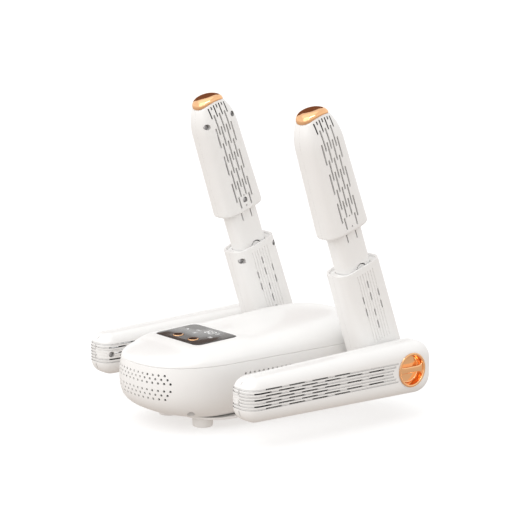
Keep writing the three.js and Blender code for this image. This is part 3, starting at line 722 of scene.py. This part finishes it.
def oval(a, b, rear, ends=120, flank=24):
    """A pod outline with separate depths in front and behind."""
    ring = superellipse(a, b, POD["power"], 0, 2 * ends, rear)
    back, front = ring[:ends], ring[ends:]
    back = back + (0, POD["straight"])
    front = front - (0, POD["straight"])
    steps = np.linspace(0, 1, flank + 2)[1:-1, None]
    left = back[-1] + (front[0] - back[-1]) * steps
    right = front[-1] + (back[0] - front[-1]) * steps
    return np.concatenate([back, left, front, right])


SEAM_INSET = wall_inset(POD["seam"])
SEAM_GAP = 0.08


def panel_height(y):
    """The height of the panel's top face over a station."""
    _, centre_y, centre_z = PANEL["centre"]
    return centre_z + PANEL["thick"] + (y - centre_y) * math.tan(math.radians(PANEL["tilt"]))


def dome(thinner, start, rings=36):
    """The domed cover; its outer skin runs level into the panel's surround."""
    a, b = POD["half_width"] - SEAM_INSET - thinner, POD["end_depth"] - SEAM_INSET - thinner
    crown, rim = POD["crown"] - thinner, 0 if thinner else 0.4
    shape = [at_height(oval(a - rim, b - rim, b - rim), start)]
    for t in np.linspace(0.0, 1.0, rings):
        share = max(1 - t ** 1.25, 0.012)
        bulge = math.sqrt(max(0.0, 1 - share ** POD["fullness"]))
        ring = oval(a * share, b * share, b * share)
        height = POD["seam"] + rim + (crown - rim + POD["slope"] * ring[:, 1]) * bulge
        if not thinner:
            edge = np.hypot(np.maximum(np.abs(ring[:, 0]) - PANEL["x"], 0),
                            np.maximum(np.abs(ring[:, 1] - PANEL["centre"][1]) - PANEL["y"], 0))
            level = panel_height(ring[:, 1]) - 0.12 - 0.026 * edge ** 2
            rise = np.logaddexp(height * 2, level * 2) / 2 - height
            height = height + rise * (1 - share ** 8)
        shape.append(np.column_stack([ring, height]))
    return skin(shape)


def panel_place():
    return Matrix.Translation(PANEL["centre"]) @ Matrix.Rotation(math.radians(PANEL["tilt"]), 4, "X")


def upper_shell():
    cover = dome(0, POD["seam"] + SEAM_GAP / 2)
    body = cut(cover, dome(POD["wall"], POD["seam"] - 1))
    opening = []
    thick = PANEL["thick"]
    for z, grow in ((-6, GAP), (thick - 0.5, GAP), (thick + 0.6, GAP + 0.9), (9, GAP + 9)):
        outline = rounded_rectangle(2 * PANEL["x"], 2 * PANEL["y"], PANEL["round"], -grow, steps=14)
        opening.append([(x, y, z) for x, y in outline])
    return cut(body, moved(skin(opening), panel_place())), cover


def along_ring(ring, step, count, start):
    """Points and outward normals spaced along a closed ring, either side of the start point."""
    closed = np.concatenate([ring, ring[:1]])
    lengths = np.concatenate([[0], np.cumsum(np.linalg.norm(np.diff(closed, axis=0), axis=1))])
    origin = lengths[start]
    found = []
    for k in count:
        at = (origin + k * step) % lengths[-1]
        point = np.array([np.interp(at, lengths, closed[:, i]) for i in (0, 1)])
        ahead = np.array([np.interp((at + 0.5) % lengths[-1], lengths, closed[:, i]) for i in (0, 1)])
        tangent = (ahead - point) / np.linalg.norm(ahead - point)
        found.append((point, np.array([tangent[1], -tangent[0]])))
    return found


def drilled(point, normal, z, radius, depth=5.0):
    """A round hole cutter that enters the wall square to it."""
    turn = Vector((*normal, 0)).to_track_quat("Z", "X").to_matrix().to_4x4()
    place = Matrix.Translation((point[0], point[1], z)) @ turn
    return moved(turned([(radius, -depth), (radius, 3)], "z", 16), place)


NOSE_ROWS = [(46.8, 6.5), (43.8, 7.0), (40.8, 7.5), (35.0, 7.5), (31.7, 7.0), (28.3, 6.5)]
FLANK_ROWS = [43.7, 40.3, 36.9, 33.5]


def grille_holes():
    holes = []
    for z, reach in NOSE_ROWS:
        ring = pod_ring(z)
        nose = int(np.argmin(ring[:, 1]))
        for point, normal in along_ring(ring, NOSE_HOLES["pitch"], np.arange(-reach, reach + 0.1), nose):
            holes.append(drilled(point, normal, z, NOSE_HOLES["radius"]))
    pitch = FLANK_HOLES["pitch"]
    for row, z in enumerate(FLANK_ROWS):
        edge = POD["half_width"] - wall_inset(z)
        for k in range(FLANK_HOLES["count"]):
            y = FLANK_HOLES["first"] + pitch * k + (pitch / 2 if row % 2 else 0)
            for side in (-1, 1):
                holes.append(drilled((side * edge, y), (side, 0), z, FLANK_HOLES["radius"]))
    return merged(holes)


BASE_SCREWS = [(36.3, -79.6), (-36.3, -79.6), (20, 97), (-20, 97)]
BASE_WELL = dict(radius=3.1, wall=1.7, top=22.2, post=25)


def tub_skin():
    heights = [POD["floor"] + 27.5 * (1 - math.cos(t)) for t in np.linspace(0, math.pi / 2, 34)]
    heights += list(np.linspace(POD["belly"], POD["seam"] - SEAM_GAP / 2 - 0.45, 10)[1:])
    rings = [at_height(pod_ring(z), z) for z in heights]
    return skin(rings + [at_height(pod_ring(POD["seam"], 0.45), POD["seam"] - SEAM_GAP / 2)])


def tub_hollow():
    heights = np.linspace(POD["floor"] + POD["wall"], POD["belly"], 24)
    top = POD["seam"] + 1
    return skin([at_height(pod_ring(z, POD["wall"]), z) for z in heights]
                + [at_height(pod_ring(top, POD["wall"]), top)])


def socket_opening():
    low, high = SOCKET["low"], SOCKET["high"]
    outline = rounded_rectangle(2 * SOCKET["half_width"], high - low, 1.5)
    return pushed([(b + (high + low) / 2, a) for a, b in outline][::-1], 80, 120, "y")


def lower_shell():
    cover = tub_skin()
    radius = BASE_WELL["radius"]
    body = cut(cover, tub_hollow())
    posts = merged([rod(radius + BASE_WELL["wall"], POD["floor"] + 0.4, BASE_WELL["post"], "z", spot)
                    for spot in BASE_SCREWS])
    body = joined(body, kept(posts, cover))
    wells = merged([rod(radius, 0, BASE_WELL["top"], "z", spot, 48) for spot in BASE_SCREWS])
    bores = rod(AXLE["outer"] + GAP, -60, 60, centre=(BOOT_HINGE.y, BOOT_HINGE.z), sides=64)
    return cut(body, wells, grille_holes(), socket_opening(), bores), cover


def base_plate():
    rings = []
    for z, inset in ((7.0, 1.2), (7.25, 0.45), (7.9, 0), (9.2, 0)):
        outline = rounded_rectangle(PLATE["width"], PLATE["depth"], PLATE["round"], inset, steps=20)
        rings.append([(x, y, z) for x, y in outline])
    feet = merged([rod(PLATE["foot_hole"], 0, 12, "z", spot, 48) for spot in FEET])
    reach = PLATE["slot_half"]
    intake = merged([box((-reach, y - 1.2, 0), (reach, y + 1.2, 12)) for y in (-18, 0, 18)])
    return cut(skin(rings), feet, intake)


FOOT_NAMES = ("front_left", "front_right", "rear_left", "rear_right")
FEET = [tuple(sum(c) * 500 for c in zip(*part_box(f"{name}_foot")))[:2] for name in FOOT_NAMES]


def foot():
    """A rubber foot with a rolled tread edge and a shallow dish underneath."""
    profile = [(4.8, 0.35), (5.2, 0.05), (6.6, 0), (7.3, 0.15), (7.75, 0.6), (7.9, 1.2), (8, 2.4), (8, 8.9),
               (7.7, 9.2)]
    return made(turned(profile, "z", 72))


# ---- panel, keys and print ----
def display_panel():
    rings, thick = [], PANEL["thick"]
    for z, inset in ((0, 0), (thick - 0.35, 0), (thick - 0.1, 0.1), (thick, 0.35)):
        outline = rounded_rectangle(2 * PANEL["x"], 2 * PANEL["y"], PANEL["round"], inset, 14)
        rings.append([(x, y, z) for x, y in outline])
    radius = KEY["radius"] + 1.5 * GAP
    holes = merged([rod(radius, -2, 4, "z", (s * KEY["x"], KEY["y"]), 48) for s in (-1, 1)])
    return cut(skin(rings), holes)


def key():
    """A plated key with a raised rim round a shallow dish."""
    r = KEY["radius"]
    profile = [(2, -3.2), (r + 1, -2.2), (r + 1, -1.2), (r, -1.2), (r, 1.55), (r - 0.12, 1.85),
               (r - 0.4, 2.0), (r - 0.75, 1.95), (r - 1.1, 1.6), (2.2, 1.35), (1.0, 1.25), (0.3, 1.22)]
    body = made(turned(profile, "z", 56, (KEY["x"], KEY["y"])))
    painted(body, slot="rose_gold")
    body.data.materials.append(PAINTED_DARK_REFLECTION)
    # The dish faces get the painted dark reflection over the plating.
    for face in body.data.polygons:
        spot = face.center
        reach = math.hypot(spot.x - KEY["x"], spot.y - KEY["y"])
        if spot.z > 1.1 and reach < r - 0.8:
            face.material_index = 1
    return body


SEGMENTS = {"6": "acdefg", "0": "abcdef"}


def digit(character, x, y, width=3.4, height=6.2, stroke=0.75):
    """A seven-segment digit with its middle at (x, y)."""
    w, h = width / 2, height / 4
    bars = {"a": (0, 2 * h, 0), "g": (0, 0, 0), "d": (0, -2 * h, 0),
            "f": (-w, h, 1), "b": (w, h, 1), "e": (-w, -h, 1), "c": (w, -h, 1)}
    shapes = []
    for name in SEGMENTS[character]:
        dx, dy, upright = bars[name]
        length = (2 * h if upright else 2 * w) - 0.35
        shapes.append(stadium((x + dx, y + dy), length, stroke, upright, 3))
    return shapes


def spot(x, y, radius, sides=20):
    angles = np.linspace(0, 2 * math.pi, sides, endpoint=False)
    return [(x + radius * math.cos(t), y + radius * math.sin(t)) for t in angles]


def printed_marks():
    """Generic marks: a timer figure, a lamp dot, a sun, two rows of bars, and strokes under two dots."""
    sun_x, sun_y, ray = -4.4, 2.2, 1.75
    flat = digit("6", 1.0, 11.3) + digit("0", 6.4, 11.3)
    flat += [spot(-18.4, 5.6, 1.0), spot(sun_x, sun_y, 0.8), spot(9.6, 14.6, 0.35), spot(11.2, 14.6, 0.35)]
    for i in range(8):
        angle = i * math.pi / 4
        flat.append(spot(sun_x + ray * math.cos(angle), sun_y + ray * math.sin(angle), 0.28, 8))
    for i in range(3):
        flat.append(stadium((14.4 + 1.3 * i, 2.0), 3.2, 0.6, 1, 3))
        flat.append(stadium((12.2, 12.6 - 1.3 * i), 2.6 - 0.5 * i, 0.5, 0, 3))
    for i in range(4):
        flat.append(stadium((-10.6 + 1.2 * i, 9.0), 2.6, 0.5, 1, 3))
    top = PANEL["thick"]
    return made(merged([pushed(outline, top - 0.02, top + 0.04) for outline in flat]))


# ---- inlet and axles ----
def inlet_ring(width, height, radius, y, inset=0.0):
    outline = rounded_rectangle(height, width, radius, inset, 8)
    return [(x, y, INLET["middle"] + z) for z, x in outline]


def power_inlet():
    """A two-pin inlet with a rounded mouth that flares at the front."""
    width, height, back, front = INLET["width"], INLET["height"], INLET["back"], INLET["front"]
    shell = skin([inlet_ring(width, height, 1.5, back), inlet_ring(width, height, 1.5, front - 0.4),
                  inlet_ring(width, height, 1.5, front, 0.4)])
    hollow = skin([inlet_ring(width - 4.8, height - 4.8, 4, back + 2),
                   inlet_ring(width - 4.8, height - 4.8, 4, front - 0.7),
                   inlet_ring(width - 4.8, height - 4.8, 4, front + 2, -1.5)])
    profile = [(INLET["pin"], 95), (INLET["pin"], 102.8), (0.9, 103.4), (0.4, 103.6)]
    pins = [turned(profile, "y", 24, (INLET["middle"], side * INLET["pin_x"])) for side in (-1, 1)]
    return joined(cut(shell, hollow), merged(pins))


def hinge_axle():
    """A hollow axle with a collar at each end."""
    outer, inner, collar = AXLE["outer"], AXLE["inner"], AXLE["collar"]
    start, end = AXLE["start"], AXLE["end"]
    profile = [(collar - 0.4, start), (collar, start + 0.4), (collar, start + 2.6), (collar - 0.4, start + 3),
               (outer, start + 3), (outer, end - 3), (collar, end - 3), (collar, end)]
    centre = (BOOT_HINGE.y, BOOT_HINGE.z)
    return cut(turned(profile, "x", 72, centre), rod(inner, 20, 110, centre=centre, sides=56))


# ---- assembly ----
def set_casing():
    upper, upper_cover = upper_shell()
    painted(upper, cover=upper_cover, depth=1.5)
    set_down(upper, "pod_cover", IDENTITY, "base", ["upper_housing"])
    lower, lower_cover = lower_shell()
    wells = [((0, 1), x, y, BASE_WELL["radius"]) for x, y in BASE_SCREWS]
    # The base screw wells get the paler painted shade.
    painted(lower, cover=lower_cover, depth=1.5, wells=wells, well_shade=PAINTED_PALE_WELL_SHADE)
    set_down(lower, "pod_tub", IDENTITY, "base", ["lower_housing"])
    set_down(painted(base_plate()), "pod_base_plate", IDENTITY, "base", ["base_plate"])
    for name, (x, y) in zip(FOOT_NAMES, FEET):
        place = Matrix.Translation((x, y, 0))
        piece = painted(foot(), slot="foot_rubber")
        set_down(piece, f"{name}_tread", place, "base", [f"{name}_foot"])
    inlet = painted(power_inlet(), slot="dark_plastic")
    set_down(inlet, "inlet_socket", IDENTITY, "base", ["power_inlet"])
    both_sides(painted(hinge_axle()), "axle_sleeve", IDENTITY, "base", "hinge_axle")


def set_panel():
    panel = painted(display_panel(), slot="smoked_panel")
    set_down(panel, "smoked_pane", panel_place(), "base", ["display_panel"])
    set_down(painted(printed_marks(), PRINT), "panel_marks", panel_place(), "base")
    both_sides(key(), "key_button", panel_place(), "key", "key")


def set_boot_arms():
    body, cover = boot_sleeve()
    for half, side in zip(halves(body), ("outer", "inner")):
        painted(half, cover=cover, depth=1.75, wells=seats_of(SLEEVE_SCREWS, side))
        both_sides(half, f"sleeve_{side}", BOOT_PLACE, "boot_arm", f"boot_sleeve_{side}")
    casing_screws(SLEEVE_SCREWS, BOOT_PLACE, "boot_arm", "sleeve")
    tube = painted(boot_tube())
    # The tube's ends, hidden inside the sleeve and the head, get painted shade.
    dark_between(tube, *TUBE_SHOWN)
    both_sides(tube, "slide_tube", BOOT_PLACE, "boot_extension", "boot_tube")
    body, cover = boot_head()
    for half, side in zip(halves(body), ("outer", "inner")):
        painted(half, cover=cover, wells=seats_of(HEAD_SCREWS, side))
        both_sides(half, f"head_{side}", BOOT_PLACE, "boot_extension", f"boot_head_{side}")
    casing_screws(HEAD_SCREWS, BOOT_PLACE, "boot_extension", "head")
    cap = painted(boot_cap(), slot="rose_gold")
    both_sides(cap, "cap_dome", BOOT_PLACE, "boot_extension", "boot_cap")


def set_shoe_arms():
    body, cover = shoe_arm()
    for half, side in zip(halves(body), ("outer", "inner")):
        painted(half, cover=cover, wells=seats_of(SHOE_SCREWS, side))
        both_sides(half, f"shoe_shell_{side}", SHOE_PLACE, "shoe_arm", f"shoe_arm_{side}")
    casing_screws(SHOE_SCREWS, SHOE_PLACE, "shoe_arm", "shoe")
    cup = painted(shoe_cup(), slot="rose_gold")
    both_sides(cup, "finger_cup", SHOE_PLACE, "shoe_arm", "shoe_cup")


# ---- stage ----
def floor():
    """A plain pale floor that the object neither mirrors nor picks up light from."""
    reach = 14.0
    corners = [(-reach, -reach, 0), (reach, -reach, 0), (reach, reach, 0), (-reach, reach, 0)]
    plane = made((np.array(corners), [[0, 1, 2, 3]]), "studio_floor")
    plane.visible_diffuse = False
    plane.visible_glossy = False
    material, nodes, links, shader, place = node_material("studio_floor")
    tinted(nodes, links, noise(nodes, links, place, 3).outputs["Fac"], (0.55, 0.55, 0.55), (0.57, 0.57, 0.57),
           shader.inputs["Base Color"])
    shader.inputs["Emission Color"].default_value = (1, 1, 1, 1)
    shader.inputs["Emission Strength"].default_value = 0.5
    shader.inputs["Roughness"].default_value = 0.9
    shader.inputs["Specular IOR Level"].default_value = 0.1
    plane.data.materials.append(material)


def softbox(name, position, target, width, height, power, only_gloss=False):
    light = bpy.data.lights.new(name, "AREA")
    light.shape = "RECTANGLE"
    light.size, light.size_y = width, height
    light.energy = power
    obj = bpy.data.objects.new(name, light)
    obj.location = position
    obj.rotation_euler = (Vector(target) - Vector(position)).to_track_quat("-Z", "Y").to_euler()
    obj.visible_diffuse = not only_gloss
    bpy.context.scene.collection.objects.link(obj)


def sun(name, towards, angle, strength):
    light = bpy.data.lights.new(name, "SUN")
    light.angle = math.radians(angle)
    light.energy = strength
    obj = bpy.data.objects.new(name, light)
    obj.rotation_euler = Vector(towards).to_track_quat("-Z", "Y").to_euler()
    bpy.context.scene.collection.objects.link(obj)


def studio_world():
    """Bright overhead, brightest just over the horizon and warm grey from below."""
    world = bpy.data.worlds.new("studio")
    world.use_nodes = True
    nodes, links = world.node_tree.nodes, world.node_tree.links
    place = nodes.new("ShaderNodeTexCoord")
    split = nodes.new("ShaderNodeSeparateXYZ")
    ramp = nodes.new("ShaderNodeValToRGB")
    height = nodes.new("ShaderNodeMapRange")
    height.inputs["From Min"].default_value = -1
    links.new(place.outputs["Generated"], split.inputs["Vector"])
    links.new(split.outputs["Z"], height.inputs["Value"])
    links.new(height.outputs["Result"], ramp.inputs["Fac"])
    stops = [(0.0, (0.56, 0.49, 0.44)), (0.42, (0.74, 0.685, 0.64)), (0.56, (1.08, 1.07, 1.06)),
             (0.9, (0.98, 0.98, 0.98))]
    for element, (position, colour) in zip(ramp.color_ramp.elements, (stops[0], stops[-1])):
        element.position, element.color = position, (*colour, 1)
    for position, colour in stops[1:-1]:
        ramp.color_ramp.elements.new(position).color = (*colour, 1)
    links.new(ramp.outputs["Color"], nodes["Background"].inputs["Color"])
    bpy.context.scene.world = world


def lights():
    studio_world()
    sun("overhead_sun", (0.25, 0.35, -1), 70, 0.42)
    sun("key_sun", (0.1, 1.0, -0.55), 50, 0.47)
    softbox("strip_softbox", (0.9, -1.6, 1.3), (0, 0, 0.1), 0.5, 1.6, 3)
    softbox("glint_softbox", (0.85, -0.7, 1.5), (0, 0, 0.2), 1.3, 0.35, 9, only_gloss=True)
    dark_flag("rear_flag", (-1.6, 0.75, 1.05), 1.5, 0.9)


def dark_flag(name, position, width, height):
    """A dark card that only reflections see, square to the object."""
    x, y = width / 2, height / 2
    card = made((np.array([(-x, -y, 0), (x, -y, 0), (x, y, 0), (-x, y, 0)]), [[0, 1, 2, 3]]), name)
    turn = Vector(position).to_track_quat("Z", "Y").to_matrix().to_4x4()
    card.data.transform(Matrix.Translation(position) @ turn)
    card.data.materials.append(finish("flag_cloth", (0.24, 0.12, 0.07), (0.28, 0.14, 0.09), (0.9, 1.0)))
    card.visible_camera = card.visible_diffuse = card.visible_shadow = False


CAMERA = dict(position=(1.1851, -0.9138, 0.3994), azimuth=51.9, elevation=10.58, lens=133.77)


def camera():
    data = bpy.data.cameras.new("camera")
    data.lens = CAMERA["lens"]
    data.sensor_width = 36
    data.clip_end = 100
    obj = bpy.data.objects.new("camera", data)
    bpy.context.scene.collection.objects.link(obj)
    azimuth, elevation = math.radians(CAMERA["azimuth"]), math.radians(CAMERA["elevation"])
    forward = Vector((-math.sin(azimuth) * math.cos(elevation), math.cos(azimuth) * math.cos(elevation),
                      -math.sin(elevation)))
    obj.location = CAMERA["position"]
    obj.rotation_euler = forward.to_track_quat("-Z", "Y").to_euler()
    bpy.context.scene.camera = obj


set_casing()
set_panel()
set_boot_arms()
set_shoe_arms()
floor()
lights()
camera()
bpy.context.scene.view_settings.view_transform = "Standard"
